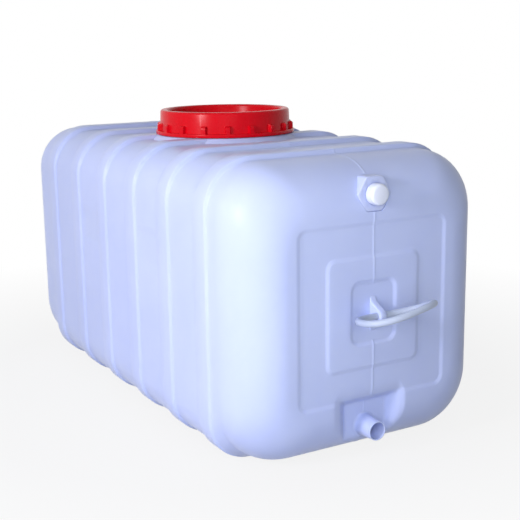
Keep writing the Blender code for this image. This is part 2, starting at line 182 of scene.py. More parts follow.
# Vent fitting and its cap, along X
VENT_Z = JOINTS["vent_cap_turn"]["pos_m"][2]
VENT_TAIL_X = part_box("vent_fitting")[0].x
VENT_TIP_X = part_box("vent_fitting")[1].x
VENT_THREAD_RADIUS = 0.0132
VENT_THREAD_RISE = 0.00025
VENT_THREAD_PITCH = 0.001814
VENT_THREAD_STEP = VENT_THREAD_PITCH / 8
VENT_ROUND = 0.0008
VENT_BORE_RADIUS = 0.009
VENT_HOLE_RADIUS = 0.0137
FLANGE_X = 0.4916
FLANGE_FLATS = 0.057
FLANGE_THICKNESS = 0.006
FLANGE_ROUND = 0.0016
FLANGE_RIM_START = 0.0188
FLANGE_RIM_END = 0.0208
FLANGE_RIM_RISE = 0.0018
HEX_CORNER = 1.11
HEX_BLEND = 0.06
HEX_ROWS = 0.7
NUT_FLATS = 0.036
NUT_ROUND = 0.0012
WASHER_RADIUS = 0.027
CAP_RADIUS = 0.0175
CAP_ROUND = 0.0055
CAP_DOME = 0.0010
CAP_ROUND_TURN = 80
CAP_ROUND_STEPS = 9
CAP_END_SHARES = (0.8, 0.6, 0.4, 0.2, 0.08)
CAP_RIM = 0.001
CAP_LEAD = 0.0005
CAP_SEAL_GAP = 0.0003
SEAT_DEPTH = 0.0105
SEAT_X = END_X - SEAT_DEPTH
SEAT_GAP = 0.0003
BOSS_DEPTH = 0.030
BOSS_HOLLOW = 0.0225
RECESS_RADIUS = 0.0365
RECESS_BLEND = 0.020
SKIRT_INSIDE = 0.0275

# Outlet pocket and spigot
POCKET_DEPTH = 0.026
POCKET_LEFT = 0.0705
POCKET_LEFT_DRAFT = 0.028
POCKET_RIGHT = 0.0620
POCKET_RIGHT_DRAFT = 0.0195
POCKET_TOP = 0.117
POCKET_TOP_DRAFT = 0.020
POCKET_EDGE = 0.011
POCKET_CREASE = 0.003
POCKET_SWELL = 1.3
OUTLET_Z = 0.0535
OUTLET_REACH = 0.0135
OUTLET_TIP_X = END_X + OUTLET_REACH
OUTLET_BORE_RADIUS = 0.0147
OUTLET_TIP_RADIUS = 0.0165
OUTLET_ROOT_RADIUS = 0.019
OUTLET_FLARE = 0.004
OUTLET_ROUND = 0.0006

# Ridge where the two halves of the mould met
RIDGE_RISE = 0.0006
RIDGE_WIDTH = 0.0018
RIDGE_POINTS = (0, 0.4, 0.8, 1.3, 2.0, 3.0)

# How deep a piece sinks into the one that carries it, and how far a cutter overruns
SINK = 0.003
OVERRUN = 0.020
SHARP_ANGLE = math.radians(38)
TOLERANCE = 1e-6

# Steps of the skin and of the cavity in it: along half a flat side, up a side, round a corner,
# over (the flank of a hoop, a band) and over (the round, a field, a step) of an end
SKIN_STEPS = (44, 44, 14, (8, 8), (46, 5, 8))
CAVITY_STEPS = (22, 6, 6, (3, 1), (22, 3, 3))

# Facets round the turned pieces, and along the threads and the lugs
WIDE_FACETS = 160
NECK_BORE_FACETS = 120
HEX_FACETS = 96
CAP_FACETS = 72
SMALL_FACETS = 64
HOLE_FACETS = 48
LUG_HOLE_FACETS = 40
ROD_FACETS = 20
THREAD_FACETS = 96
THREAD_SIDES = 12
LUG_STEPS = 12

# Photograph's view
CAMERA_PLACE = Vector((1.8098, -0.9717, 0.6979))
CAMERA_AIM = Vector((0.2876, -0.0906, 0.3151))
CAMERA_ROLL = math.radians(-0.83)
CAMERA_LENS = 71.12
CAMERA_SENSOR = 36.0

# Plastics: how deep light goes in, and the sizes of their clouds, gloss, waves and orange peel
LIGHT_DEPTH = 0.003
CLOUD_SCALE = 6.0
GLOSS_SCALE = 38.0
GLOSS_DETAIL = 5.0
GLOSS_GRAIN = 0.6
GLOSS_SPREAD = (-0.04, 0.06)
WAVE_SCALE = 9.0
WAVE_HEIGHT = 0.004
PEEL_SCALE = 420.0
PEEL_HEIGHT = 0.0003
BUMP_DETAIL = 2.0

# Studio
KEY_PLACE = (0.70, -1.75, 0.88)
KEY_SIZE = 0.32
KEY_POWER = 18.0
KEY_TINT = (1.0, 0.95, 1.0)
FILL_PLACE = (1.35, -0.60, 0.60)
FILL_SIZE = 0.8
FILL_POWER = 7.5
LIGHT_AIM = (0.1, 0.0, 0.25)
AMBIENT_FROM = (0.50, 0.87, 0.0)
AMBIENT_RANGE = (0.67, 0.0)
FLOOR_SIZE = 60.0
FLOOR_Z = -0.0007
FLOOR_COLOUR = (0.45, 0.46, 0.48)
FLOOR_ROUGHNESS = 0.8
FLOOR_GLOW = 0.86
FLOOR_CLEAR = (0.55, 1.3)


def smooth_min(a, b, blend):
    overlap = np.maximum(blend - np.abs(a - b), 0) / blend
    return np.minimum(a, b) - overlap * overlap * blend / 4


def smooth_max(a, b, blend):
    return -smooth_min(-a, -b, blend)


def eased(share):
    return (1 - np.cos(np.pi * np.clip(share, 0, 1))) / 2


def evenly(segments):
    return np.arange(segments) * 2 * np.pi / segments


def add_node(material, kind, **values):
    node = material.node_tree.nodes.new(kind)
    for name, value in values.items():
        if hasattr(node, name):
            setattr(node, name, value)
        else:
            node.inputs[name.replace("_", " ")].default_value = value
    return node


def link(material, source, target):
    material.node_tree.links.new(source, target)


def noise(material, place, scale, detail=3.0, roughness=0.5):
    node = add_node(material, "ShaderNodeTexNoise", Scale=scale, Detail=detail, Roughness=roughness)
    link(material, place, node.inputs["Vector"])
    return node.outputs["Fac"]


def mapped(material, source, low, high, start=0.3, end=0.7):
    node = add_node(material, "ShaderNodeMapRange", From_Min=start, From_Max=end, To_Min=low, To_Max=high)
    link(material, source, node.inputs["Value"])
    return node.outputs["Result"]


def mixed_colour(material, factor, first, second):
    node = add_node(material, "ShaderNodeMix", data_type="RGBA")
    link(material, factor, node.inputs["Factor"])
    first_socket, second_socket = [socket for socket in node.inputs if socket.type == "RGBA"]
    first_socket.default_value = (*first, 1.0)
    second_socket.default_value = (*second, 1.0)
    return next(socket for socket in node.outputs if socket.type == "RGBA")


def bump(material, height, strength, distance, under=None):
    node = add_node(material, "ShaderNodeBump", Strength=strength, Distance=distance)
    link(material, height, node.inputs["Height"])
    if under:
        link(material, under, node.inputs["Normal"])
    return node.outputs["Normal"]


def moulded_plastic(name, colour, shade, roughness, waves=0.0, peel=0.0, specular=0.5, milky=0.0):
    """Plastic with cloudy colour and uneven gloss.

    Slow waves, a fine orange peel and light that enters it are added where they are asked for.
    """
    material = bpy.data.materials.new(name)
    material.use_nodes = True
    shader = material.node_tree.nodes["Principled BSDF"]
    place = add_node(material, "ShaderNodeTexCoord").outputs["Object"]
    clouds = mapped(material, noise(material, place, CLOUD_SCALE), 0.0, 1.0)
    link(material, mixed_colour(material, clouds, colour, shade), shader.inputs["Base Color"])
    smoother, rougher = (roughness + spread for spread in GLOSS_SPREAD)
    patches = noise(material, place, GLOSS_SCALE, GLOSS_DETAIL, GLOSS_GRAIN)
    link(material, mapped(material, patches, smoother, rougher), shader.inputs["Roughness"])
    shader.inputs["Specular IOR Level"].default_value = specular
    if milky:
        shader.inputs["Subsurface Weight"].default_value = milky
        shader.inputs["Subsurface Radius"].default_value = (1.0, 1.0, 1.0)
        shader.inputs["Subsurface Scale"].default_value = LIGHT_DEPTH
    normal = None
    if waves:
        normal = bump(material, noise(material, place, WAVE_SCALE, BUMP_DETAIL), waves, WAVE_HEIGHT)
    if peel:
        grain = noise(material, place, PEEL_SCALE, BUMP_DETAIL)
        normal = bump(material, grain, peel, PEEL_HEIGHT, normal)
    if normal:
        link(material, normal, shader.inputs["Normal"])
    return material


def finish_mesh(mesh):
    """Turns all faces outwards, and smooths all but the sharp edges."""
    bm = bmesh.new()
    bm.from_mesh(mesh)
    bmesh.ops.recalc_face_normals(bm, faces=bm.faces)
    bm.to_mesh(mesh)
    bm.free()
    mesh.shade_smooth()
    mesh.set_sharp_from_angle(angle=SHARP_ANGLE)


def add_mesh(name, points, faces, material=None):
    mesh = bpy.data.meshes.new(name)
    mesh.from_pydata([tuple(map(float, point)) for point in points], [], faces)
    finish_mesh(mesh)
    obj = bpy.data.objects.new(name, mesh)
    bpy.context.scene.collection.objects.link(obj)
    if material:
        mesh.materials.append(material)
    return obj


def add_grid(name, grid, material=None, loop=False):
    """A skin over rows of points that close round, capped at both ends or closed into a loop."""
    rows, columns, _ = grid.shape
    faces = []
    for row in range(rows if loop else rows - 1):
        here, there = row * columns, (row + 1) % rows * columns
        for column in range(columns):
            after = (column + 1) % columns
            faces.append((here + column, here + after, there + after, there + column))
    if not loop:
        faces.append(tuple(range(columns)))
        faces.append(tuple(range((rows - 1) * columns, rows * columns)))
    return add_mesh(name, grid.reshape(-1, 3), faces, material)


def turned(name, profile, angles, material=None, loop=False, shape=None):
    """A piece turned about Z from (radius, height) pairs.

    shape(radius, height, angles) may bend it out of round.
    """
    radii, heights = np.array(profile).T
    height = np.repeat(heights[:, None], len(angles), axis=1)
    radius = np.repeat(radii[:, None], len(angles), axis=1)
    if shape:
        radius = shape(radius, height, angles)
    grid = np.stack((radius * np.cos(angles), radius * np.sin(angles), height), axis=-1)
    return add_grid(name, grid, material, loop)


def turned_x(name, profile, angles, z, material=None, loop=False, shape=None):
    """A piece turned about the X axis at height z, from (radius, x) pairs."""
    piece = turned(name, profile, angles, material, loop, shape)
    points = np.empty(len(piece.data.vertices) * 3)
    piece.data.vertices.foreach_get("co", points)
    points = points.reshape(-1, 3)[:, (2, 0, 1)] + (0, 0, z)
    piece.data.vertices.foreach_set("co", points.ravel())
    return piece


def arc(radius_centre, height_centre, radius, start, end, steps=5):
    """Points of a round in a turned profile, with its angles in degrees from outwards to up."""
    angles = np.radians(np.linspace(start, end, steps + 1))
    return [(radius_centre + radius * math.cos(a), height_centre + radius * math.sin(a)) for a in angles]


def rounded_ring(inner, outer, low, high, radius):
    """Profile of a ring with all four edges rounded."""
    profile = arc(outer - radius, low + radius, radius, -90, 0)
    profile += arc(outer - radius, high - radius, radius, 0, 90)
    profile += arc(inner + radius, high - radius, radius, 90, 180)
    return profile + arc(inner + radius, low + radius, radius, 180, 270)


def hexagonal(flats):
    """A shape that turns the rows about as wide as the flats into a hexagon with soft corners."""
    def shape(radius, height, angles):
        corner = 1 / np.cos(angles % (np.pi / 3) - np.pi / 6)
        soft = smooth_min(corner, np.full_like(corner, HEX_CORNER), HEX_BLEND)
        return np.where(radius > HEX_ROWS * flats / 2, radius * soft, radius)
    return shape


def hexagon_block(name, flats, start, end):
    """A plain hexagon along X on the axis of the vent, for cutting and joining."""
    profile = [(flats / 2, start), (flats / 2, end)]
    return turned_x(name, profile, evenly(HEX_FACETS), VENT_Z, None, False, hexagonal(flats))


def boolean(target, tool, operation="DIFFERENCE"):
    modifier = target.modifiers.new(tool.name, "BOOLEAN")
    modifier.operation = operation
    modifier.solver = "EXACT"
    modifier.object = tool


def apply_modifiers(obj, tools):
    """Keeps the result of an object's modifiers, and removes their tools."""
    result = obj.evaluated_get(bpy.context.evaluated_depsgraph_get())
    mesh = bpy.data.meshes.new_from_object(result)
    obj.modifiers.clear()
    obj.data = mesh
    mesh.shade_smooth()
    mesh.set_sharp_from_angle(angle=SHARP_ANGLE)
    for tool in tools:
        bpy.data.objects.remove(tool, do_unlink=True)


def half_run(length, steps):
    """Points on half of a flat side from its middle outwards, close together over the ridge of the mould."""
    near = RIDGE_WIDTH * np.array(RIDGE_POINTS)
    return np.concatenate((near, np.linspace(near[-1], length, steps + 1)[1:]))


def outline(half_y, half_z, top_radius, bottom_radius, runs, side_steps, corner_steps):
    """(y, z) points round a rounded rectangle, from the middle of its bottom side."""
    low = half_run(half_y - bottom_radius, runs)
    high = half_run(half_y - top_radius, runs)[::-1]
    turn = np.linspace(0, np.pi / 2, corner_steps + 1)[1:]
    rise = np.linspace(bottom_radius - half_z, half_z - top_radius, side_steps + 1)[1:]
    y = [low, low[-1] + bottom_radius * np.sin(turn), np.full(side_steps, half_y)]
    z = [np.full(len(low), -half_z), bottom_radius - half_z - bottom_radius * np.cos(turn), rise]
    y += [high[0] + top_radius * np.cos(turn), high[1:]]
    z += [half_z - top_radius + top_radius * np.sin(turn), np.full(len(high) - 1, half_z)]
    y, z = np.concatenate(y), np.concatenate(z)
    return np.concatenate((y, -y[-2:0:-1])), np.concatenate((z, z[-2:0:-1])) + MIDDLE_Z


def hoop_centre(hoop):
    return REAR_HOOP - END_X + hoop * HOOP_PITCH


def hoop_rows(inset, flank_steps, band_steps):
    """Sections of the sides over all the hoops: x, half width, half height and the corner radii."""
    run = (HOOP_WIDTH - HOOP_CREST) / 2
    band = HOOP_PITCH - HOOP_WIDTH
    places = []
    for hoop in range(HOOP_COUNT):
        start = hoop_centre(hoop) - HOOP_WIDTH / 2
        flank = [k / flank_steps for k in range(flank_steps + 1)]
        places += [(start + run * share, share) for share in flank]
        places += [(start + HOOP_WIDTH - run * share, share) for share in flank[::-1]]
        if hoop < HOOP_COUNT - 1:
            places += [(start + HOOP_WIDTH + band * k / band_steps, 0) for k in range(1, band_steps)]
    rows = []
    for x, share in places:
        low = 1 - eased(share)
        corner = HOOP_ROUNDING * low + inset
        half_y = WIDTH / 2 - HOOP_SIDE_RISE * low - inset
        half_z = HEIGHT / 2 - HOOP_TOP_RISE * low - inset
        rows.append((x, half_y, half_z, TOP_CORNER - corner, BOTTOM_CORNER - corner))
    return rows


def end_rows(inset, round_steps, field_steps, step_steps):
    """Sections of the +X end: the round, then the fields and steps of its panel, working inwards."""
    rows = []
    for k in range(round_steps + 1):
        angle = k / round_steps * math.pi / 2
        share = 1 - math.cos(angle)
        x = END_X - END_ROUND_LENGTH + (END_ROUND_LENGTH - inset) * math.sin(angle)
        drawn_in = END_ROUND_DEPTH - (END_ROUND_DEPTH - inset) * math.cos(angle)
        half_y = WIDTH / 2 - HOOP_SIDE_RISE - drawn_in
        half_z = HEIGHT / 2 - HOOP_TOP_RISE - drawn_in
        rounds = (END_TOP_CORNER, END_BOTTOM_CORNER)
        corners = [c * (1 - share) + END_FACE_CORNER * share - inset for c in rounds]
        rows.append((x, half_y, half_z, *corners))
    outer = (WIDTH / 2 - PANEL_SIDE_MARGIN, HEIGHT / 2 - PANEL_END_MARGIN)
    middle = (outer[0] - MIDDLE_MARGIN, outer[1] - MIDDLE_MARGIN)
    recess = (LUG_RECESS_WIDTH / 2, LUG_RECESS_HEIGHT / 2)
    raised = PANEL_DEPTH - MIDDLE_RISE
    for (half_y, half_z), high, low in (
        (outer, 0, PANEL_DEPTH),
        (middle, PANEL_DEPTH, raised),
        (recess, raised, RECESS_FLOOR),
    ):
        first = np.array(rows[-1])
        last = np.array((END_X - high - inset, half_y, half_z, PANEL_CORNER, PANEL_CORNER))
        rows += [tuple(first + (last - first) * k / field_steps) for k in range(1, field_steps + 1)]
        for k in range(1, step_steps + 1):
            drawn_in = PANEL_STEP * k / step_steps
            x = END_X - inset - high + (high - low) * eased(k / step_steps)
            corner = PANEL_CORNER - drawn_in
            rows.append((x, half_y - drawn_in, half_z - drawn_in, corner, corner))
    return rows


def press_pocket(grid, inset):
    """Presses the outlet pocket into the +X end, with walls that swell outwards and soft edges."""
    x, y, z = np.moveaxis(grid, -1, 0)
    left = (POCKET_LEFT_DRAFT - POCKET_LEFT - y - inset) / POCKET_LEFT_DRAFT
    right = (POCKET_RIGHT_DRAFT - POCKET_RIGHT + y - inset) / POCKET_RIGHT_DRAFT
    side = np.maximum(left, right)
    top = (z - POCKET_TOP + POCKET_TOP_DRAFT - inset) / POCKET_TOP_DRAFT
    crease = POCKET_CREASE / POCKET_DEPTH
    slope = smooth_max(smooth_max(side, top, 2 * crease), np.zeros_like(x), crease)
    below = 1 - (1 - np.minimum(slope, 1)) ** POCKET_SWELL
    rise = np.where(slope < 1, below, 1 + POCKET_SWELL * (slope - 1))
    wall = END_X - POCKET_DEPTH - inset + POCKET_DEPTH * rise
    grid[..., 0] = np.where(x > 0, smooth_min(x, wall, POCKET_EDGE), x)


def press_seat(grid, inset):
    """Presses the inside of the wall back behind the seat of the vent fitting."""
    x, y, z = np.moveaxis(grid, -1, 0)
    seat = SEAT_X - inset
    share = 1 - eased((np.hypot(y, z - VENT_Z) - RECESS_RADIUS) / RECESS_BLEND)
    grid[..., 0] = np.where(x > seat, x + (seat - x) * share, x)


def press_pads(grid):
    """Presses the blank pads into the -Y side."""
    x, y, z = np.moveaxis(grid, -1, 0)
    inside = 1 - eased((np.abs(z - PAD_MIDDLE_Z) - PAD_HEIGHT / 2 + PAD_EDGE) / PAD_EDGE)
    half = (HOOP_PITCH - HOOP_WIDTH) / 2
    for band in PAD_BANDS:
        middle = hoop_centre(band) + HOOP_PITCH / 2
        share = inside * (1 - eased((np.abs(x - middle) - half + PAD_EDGE) / PAD_EDGE))
        grid[..., 1] += np.where(y < 0, PAD_DEPTH * share, 0)


def raise_ridge(grid):
    """Lifts the line where the mould closed, along the middle plane of the tank."""
    along = np.gradient(grid, axis=0)
    around = np.roll(grid, -1, axis=1) - np.roll(grid, 1, axis=1)
    normal = np.cross(around, along)
    normal /= np.maximum(np.linalg.norm(normal, axis=-1, keepdims=True), 1e-12)
    rise = RIDGE_RISE * np.exp(-((grid[..., 1] / RIDGE_WIDTH) ** 2))
    grid += normal * rise[..., None]


def lowered(z, half_z):
    """Brings the underside of the bands closer to the floor than their tops are to the tops of the hoops."""
    band = HEIGHT / 2 - HOOP_TOP_RISE
    drop = np.interp(half_z, (band - END_ROUND_DEPTH, band, HEIGHT / 2), (0, BOTTOM_DROP, 0))
    return z - drop * np.clip((MIDDLE_Z - z) / half_z, 0, 1)


def skin_grid(inset, runs, side_steps, corner_steps, hoop_steps, end_steps):
    """Points of the whole shell, or of a skin that lies deeper by the inset."""
    front = end_rows(inset, *end_steps)
    rear = [(-row[0], *row[1:]) for row in front[::-1]]
    grid = []
    for x, *sizes in rear + hoop_rows(inset, *hoop_steps) + front:
        y, z = outline(*sizes, runs, side_steps, corner_steps)
        grid.append(np.stack((np.full(len(y), x), y, lowered(z, sizes[1])), axis=-1))
    grid = np.array(grid)
    press_pocket(grid, inset)
    return grid


def build_skin(material):
    grid = skin_grid(0, *SKIN_STEPS)
    press_pads(grid)
    raise_ridge(grid)
    skin = add_grid("tank_skin", grid, material)
    boss = hexagon_block("vent_boss", FLANGE_FLATS, SEAT_X - BOSS_DEPTH, SEAT_X)
    seat = hexagon_block("vent_seat", FLANGE_FLATS + 2 * SEAT_GAP, SEAT_X, SEAT_X + OVERRUN)
    inside = skin_grid(WALL, *CAVITY_STEPS)
    press_seat(inside, WALL)
    cavity = add_grid("cavity", inside)
    facets = evenly(HOLE_FACETS)
    room = [(BOSS_HOLLOW, SEAT_X - d) for d in (BOSS_DEPTH + WALL, WALL)]
    hollow = turned_x("nut_room", room, facets, VENT_Z)
    reach = (-OVERRUN, OVERRUN)
    vent = turned_x("vent_hole", [(VENT_HOLE_RADIUS, SEAT_X + d) for d in reach], facets, VENT_Z)
    bore = [(NECK_INSIDE + NECK_ROUND, BAND_TOP_Z + d) for d in reach]
    neck = turned("neck_bore", bore, evenly(NECK_BORE_FACETS))
    floor = END_X - POCKET_DEPTH
    outlet = turned_x("outlet_hole", [(OUTLET_TIP_RADIUS, floor + d) for d in reach], facets, OUTLET_Z)
    boolean(skin, boss, "UNION")
    cutters = (seat, cavity, hollow, vent, neck, outlet)
    for cutter in cutters:
        boolean(skin, cutter)
    apply_modifiers(skin, (boss, *cutters))
    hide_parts("tank_shell")
    return skin


def build_thread(name, radius, start, turns, material):
    """A low round ridge that winds up a cylinder, thinning out at both ends."""
    angles = np.linspace(0, turns * 2 * np.pi, int(turns * THREAD_FACETS))[:, None]
    section = np.linspace(0, 2 * np.pi, THREAD_SIDES, endpoint=False)
    fade = np.clip(np.minimum(angles, angles[-1] - angles) / THREAD_FADE, THREAD_TIP, 1)
    distance = radius + THREAD_RISE * np.cos(section) * fade
    height = start + angles / (2 * np.pi) * THREAD_PITCH + THREAD_WIDTH / 2 * np.sin(section)
    grid = np.stack((distance * np.cos(angles), distance * np.sin(angles), height), axis=-1)
    return add_grid(name, grid, material)


def build_neck(material):
    profile = [(NECK_INSIDE, BAND_TOP_Z - WALL - SINK)]
    profile += arc(NECK_INSIDE + NECK_ROUND, NECK_RIM_Z - NECK_ROUND, NECK_ROUND, 180, 90)
    profile += arc(NECK_RADIUS - NECK_ROUND, NECK_RIM_Z - NECK_ROUND, NECK_ROUND, 90, 0)
    profile += arc(NECK_RADIUS + NECK_ROUND, COLLAR_Z + NECK_ROUND, NECK_ROUND, 180, 270)
    profile += arc(COLLAR_RADIUS - NECK_ROUND, COLLAR_Z - NECK_ROUND, NECK_ROUND, 90, COLLAR_ROUND_END)
    profile += [(COLLAR_FOOT, BAND_TOP_Z), (COLLAR_FOOT, BAND_TOP_Z - SINK)]
    neck = turned("filler_neck", profile, evenly(WIDE_FACETS), material, True)
    return neck, build_thread("neck_thread", NECK_RADIUS, NECK_THREAD_Z, NECK_THREAD_TURNS, material)


def build_spigot(material):
    floor = END_X - POCKET_DEPTH
    root = OUTLET_ROOT_RADIUS + OUTLET_FLARE
    profile = [(OUTLET_BORE_RADIUS, floor - WALL)]
    profile += arc(OUTLET_BORE_RADIUS + OUTLET_ROUND, OUTLET_TIP_X - OUTLET_ROUND, OUTLET_ROUND, 180, 90)
    profile += arc(OUTLET_TIP_RADIUS - OUTLET_ROUND, OUTLET_TIP_X - OUTLET_ROUND, OUTLET_ROUND, 90, 0)
    profile += arc(root, floor + OUTLET_FLARE, OUTLET_FLARE, 180, 270)
    profile += [(root, floor - SINK / 2), (OUTLET_TIP_RADIUS, floor - WALL)]
    return turned_x("outlet_spigot", profile, evenly(SMALL_FACETS), OUTLET_Z, material, True)


def build_lug(name, place, material):
    """A plate with rounded edges that tapers to a round nose, with a hole for the ring."""
    side = math.copysign(1, place.x)
    root_x = END_X - RECESS_FLOOR
    top = [(root_x - SINK, LUG_ROOT / 2 + LUG_FLARE), (root_x, LUG_ROOT / 2 + LUG_FLARE)]
    top.append((root_x + LUG_FLARE, LUG_ROOT / 2 - LUG_FLARE))
    top += [(abs(place.x) + r, h) for r, h in arc(0, 0, LUG_NOSE_RADIUS, LUG_NOSE_TURN, 0, LUG_STEPS)]
    points = np.array(top + [(x, -z) for x, z in top[-2::-1]])
    middle = np.array((root_x, 0))
    reach = np.linalg.norm(points - middle, axis=1, keepdims=True)
    rows = []
    for angle in np.radians(np.linspace(-90, 90, LUG_STEPS)):
        drawn_in = LUG_EDGE * (1 - math.cos(angle))
        y = math.copysign(LUG_THICKNESS / 2 - LUG_EDGE, angle) + LUG_EDGE * math.sin(angle)
        x, z = (middle + (points - middle) * (1 - drawn_in / reach)).T
        rows.append(np.stack((side * x, np.full(len(x), y), place.z + z), axis=-1))
    lug = add_grid(name, np.array(rows), material)
    radius = HANDLE_ROD / 2 + HANDLE_CLEARANCE
    through = [(radius, -LUG_THICKNESS), (radius, LUG_THICKNESS)]
    hole = turned("lug_hole", through, evenly(LUG_HOLE_FACETS))
    hole.rotation_euler = (math.pi / 2, 0, 0)
    hole.location = place
    boolean(lug, hole)
    apply_modifiers(lug, [hole])
    return lug


def build_ring(name, place, node, material):
    """The ring through the lug: a squarish oval that tilts up, and twists from end to end."""
    side = math.copysign(1, place.x)
    half_y = (HANDLE_WIDTH - HANDLE_ROD) / 2
    cosine, sine = np.cos(evenly(WIDE_FACETS)), np.sin(evenly(WIDE_FACETS))
    power = 2 / HANDLE_SQUARENESS
    y = half_y * np.sign(cosine) * np.abs(cosine) ** power
    out = HANDLE_REACH / 2 * (1 + np.sign(sine) * np.abs(sine) ** power)
    tilt = HANDLE_TILT + HANDLE_TWIST * y / half_y
    line = np.stack((side * out * np.cos(tilt), side * y, out * np.sin(tilt)), axis=-1)
    line += np.array(place)
    along = np.roll(line, -1, axis=0) - np.roll(line, 1, axis=0)
    across = np.cross(along, (0.0, 0.0, 1.0))
    across /= np.linalg.norm(across, axis=1, keepdims=True)
    raised = np.cross(across, along)
    raised /= np.linalg.norm(raised, axis=1, keepdims=True)
    around = evenly(ROD_FACETS)[:, None]
    tube = across[:, None] * np.cos(around) + raised[:, None] * np.sin(around)
    ring = add_grid(name, line[:, None] + HANDLE_ROD / 2 * tube, material, True)
    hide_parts(node)
    return ring


def bar_angles():
    """Angles round the lid, close together at the edges of its grip bars."""
    half_pitch = math.pi * DRUM_RADIUS / BAR_COUNT
    start, end = BAR_WIDTH / 2 - BAR_EDGE / 2, BAR_WIDTH / 2 + BAR_EDGE / 2
    crown = np.linspace(0, start, BAR_CROWN_POINTS)
    edge = np.linspace(start, end, BAR_EDGE_POINTS)[1:]
    gap = np.linspace(end, half_pitch, BAR_GAP_POINTS)[1:]
    away = np.concatenate((crown, edge, gap))
    pitch = np.concatenate((-away[-2:0:-1], away)) / DRUM_RADIUS
    return np.concatenate([BAR_TURN + 2 * np.pi * bar / BAR_COUNT + pitch for bar in range(BAR_COUNT)])


def with_bars(radius, height, angles):
    """Raises the grip bars on the drum of the lid, from its lip up."""
    pitch = 2 * math.pi / BAR_COUNT
    away = np.abs((angles - BAR_TURN + pitch / 2) % pitch - pitch / 2) * DRUM_RADIUS
    across = 1 - eased((away - BAR_WIDTH / 2 + BAR_EDGE / 2) / BAR_EDGE)
    rise = np.clip((height - BAR_HEIGHT + BAR_ROUND) / BAR_ROUND, 0, 1)
    share = across * np.sqrt(1 - rise * rise)
    drum = (radius > DRUM_TOP_RADIUS - DRUM_SLACK) & (height > LIP_HEIGHT - TOLERANCE)
    return np.where(drum, radius + np.maximum(BAR_FACE - radius, 0) * share, radius)


def build_lid(material):
    """The lid, turned as one profile: dish with its marks, rim, drum with its bars, lip, skirt and plug."""
    mark_top = DISH_FLOOR + DISH_MARK_RISE
    ring_end = DISH_RING_RADIUS + DISH_RING_WIDTH
    profile = [(DISH_PIP_CENTRE, mark_top), (DISH_PIP_RADIUS, mark_top)]
    profile += [(DISH_PIP_RADIUS + DISH_MARK_SLOPE, DISH_FLOOR), (DISH_RING_RADIUS, DISH_FLOOR)]
    profile += [(DISH_RING_RADIUS + DISH_MARK_SLOPE, mark_top), (ring_end - DISH_MARK_SLOPE, mark_top)]
    profile.append((ring_end, DISH_FLOOR))
    profile += arc(DISH_RADIUS - DISH_FILLET, DISH_FLOOR + DISH_FILLET, DISH_FILLET, -90, 0)
    profile += arc(DISH_RADIUS + LID_ROUND, LID_TOP - LID_ROUND, LID_ROUND, 180, 90)
    profile += arc(DRUM_TOP_RADIUS - LID_ROUND, LID_TOP - LID_ROUND, LID_ROUND, 90, 0)
    bar_tops = BAR_HEIGHT - BAR_ROUND * (1 - np.sin(np.linspace(np.pi / 2, 0, BAR_TOP_POINTS)))
    bar_sides = np.linspace(BAR_HEIGHT - BAR_ROUND, LIP_HEIGHT, BAR_SIDE_POINTS)[1:]
    slope = (DRUM_RADIUS - DRUM_TOP_RADIUS) / (LID_TOP - LID_ROUND - LIP_HEIGHT)
    heights = np.concatenate((bar_tops, bar_sides))
    profile += [(DRUM_RADIUS - (h - LIP_HEIGHT) * slope, h) for h in heights]
    profile += arc(LIP_RADIUS - LIP_ROUND, LIP_HEIGHT - LIP_ROUND, LIP_ROUND, 90, 0)
    profile += arc(LIP_RADIUS - LIP_ROUND, LIP_ROUND, LIP_ROUND, 0, -90)
    profile += [(SKIRT_RADIUS, 0), (SKIRT_RADIUS, LID_CEILING)]
    profile += [(PLUG_RADIUS, LID_CEILING), (PLUG_RADIUS, DISH_FLOOR - DISH_WALL)]
    profile = [(r, LID_Z + h) for r, h in profile]

    def barred(radius, height, angles):
        return with_bars(radius, height - LID_Z, angles)

    lid = turned("lid_moulding", profile, bar_angles(), material, False, barred)
    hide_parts("lid")
    start = NECK_THREAD_Z + THREAD_PITCH / 2
    return lid, build_thread("lid_thread", SKIRT_RADIUS, start, LID_THREAD_TURNS, material)


def build_gasket(material):
    profile = rounded_ring(NECK_INSIDE, NECK_RADIUS, GASKET_Z, GASKET_Z + GASKET_THICKNESS, SEAL_ROUND)
    gasket = turned("gasket_ring", profile, evenly(WIDE_FACETS), material, True)
    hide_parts("lid_gasket")
    return gasket


def threaded(radius, height, angles):
    """A shape that winds the pipe thread round the stem of the vent fitting."""
    ridge = VENT_THREAD_RISE * np.cos(2 * np.pi * height / VENT_THREAD_PITCH - angles)
    return np.where(np.abs(radius - VENT_THREAD_RADIUS) < TOLERANCE, radius + ridge, radius)


